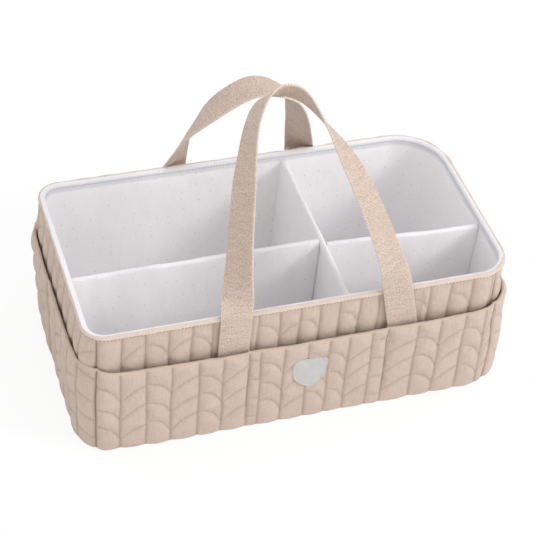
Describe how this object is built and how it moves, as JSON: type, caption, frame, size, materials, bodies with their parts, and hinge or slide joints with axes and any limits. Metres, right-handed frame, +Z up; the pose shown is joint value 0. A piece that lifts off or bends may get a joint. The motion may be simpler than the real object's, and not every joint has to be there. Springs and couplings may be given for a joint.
{
  "type": "diaper caddy",
  "caption": "Quilted cotton caddy, open on top, with an outside pocket band, inside dividers and two webbing carrying handles.",
  "frame": {"origin": "middle of the underside", "axes": "+X along the length towards the right end, +Y towards the rear, +Z up"},
  "size_m": [0.4182, 0.2275, 0.3136],
  "materials": {
    "quilted_cotton": "matte quilted cotton",
    "cotton_webbing": "matte herringbone webbing",
    "lining_cloth": "matte plain cloth",
    "stiff_board": "matte board",
    "patch_cloth": "matte plain cloth",
    "fastening_tape": "matte hook and loop"
  },
  "bodies": {
    "caddy": {"shell_right": "quilted_cotton", "wall_board_right": "stiff_board", "lining_right": "lining_cloth", "shell_rear": "quilted_cotton", "wall_board_rear": "stiff_board", "lining_rear": "lining_cloth", "shell_left": "quilted_cotton", "wall_board_left": "stiff_board", "lining_left": "lining_cloth", "shell_front": "quilted_cotton", "wall_board_front": "stiff_board", "lining_front": "lining_cloth", "rim_binding": "quilted_cotton", "base_cover": "quilted_cotton", "base_board": "stiff_board", "lining_floor": "lining_cloth", "pocket_right": "quilted_cotton", "pocket_rear": "quilted_cotton", "pocket_left": "quilted_cotton", "pocket_front": "quilted_cotton", "label_patch": "patch_cloth", "handle_end_front_left": "cotton_webbing", "handle_end_front_right": "cotton_webbing", "handle_end_rear_left": "cotton_webbing", "handle_end_rear_right": "cotton_webbing", "cross_divider_cover": "lining_cloth", "cross_divider_board": "stiff_board", "loop_tape_left_start": "fastening_tape", "loop_tape_left_end": "fastening_tape", "loop_tape_right_start": "fastening_tape", "loop_tape_right_end": "fastening_tape"},
    "front_handle": {"handle_front": "cotton_webbing"},
    "rear_handle": {"handle_rear": "cotton_webbing"},
    "left_divider": {"long_divider_left_cover": "lining_cloth", "long_divider_left_board": "stiff_board", "hook_tape_left_start": "fastening_tape", "hook_tape_left_end": "fastening_tape"},
    "right_divider": {"long_divider_right_cover": "lining_cloth", "long_divider_right_board": "stiff_board", "hook_tape_right_start": "fastening_tape", "hook_tape_right_end": "fastening_tape"}
  },
  "joints": [
    {"name": "front_handle_swing", "type": "hinge", "parent": "caddy", "child": "front_handle", "pos_m": [0.0061, -0.1067, 0.13915], "axis": [1, 0, 0], "range_deg": [0, 160]},
    {"name": "rear_handle_swing", "type": "hinge", "parent": "caddy", "child": "rear_handle", "pos_m": [-0.00525, 0.1067, 0.13915], "axis": [-1, 0, 0], "range_deg": [0, 163]},
    {"name": "left_divider_lift", "type": "slide", "parent": "caddy", "child": "left_divider", "axis": [0, 0, 1], "range_m": [0, 0.1315]},
    {"name": "right_divider_lift", "type": "slide", "parent": "caddy", "child": "right_divider", "axis": [0, 0, 1], "range_m": [0, 0.135]}
  ]
}
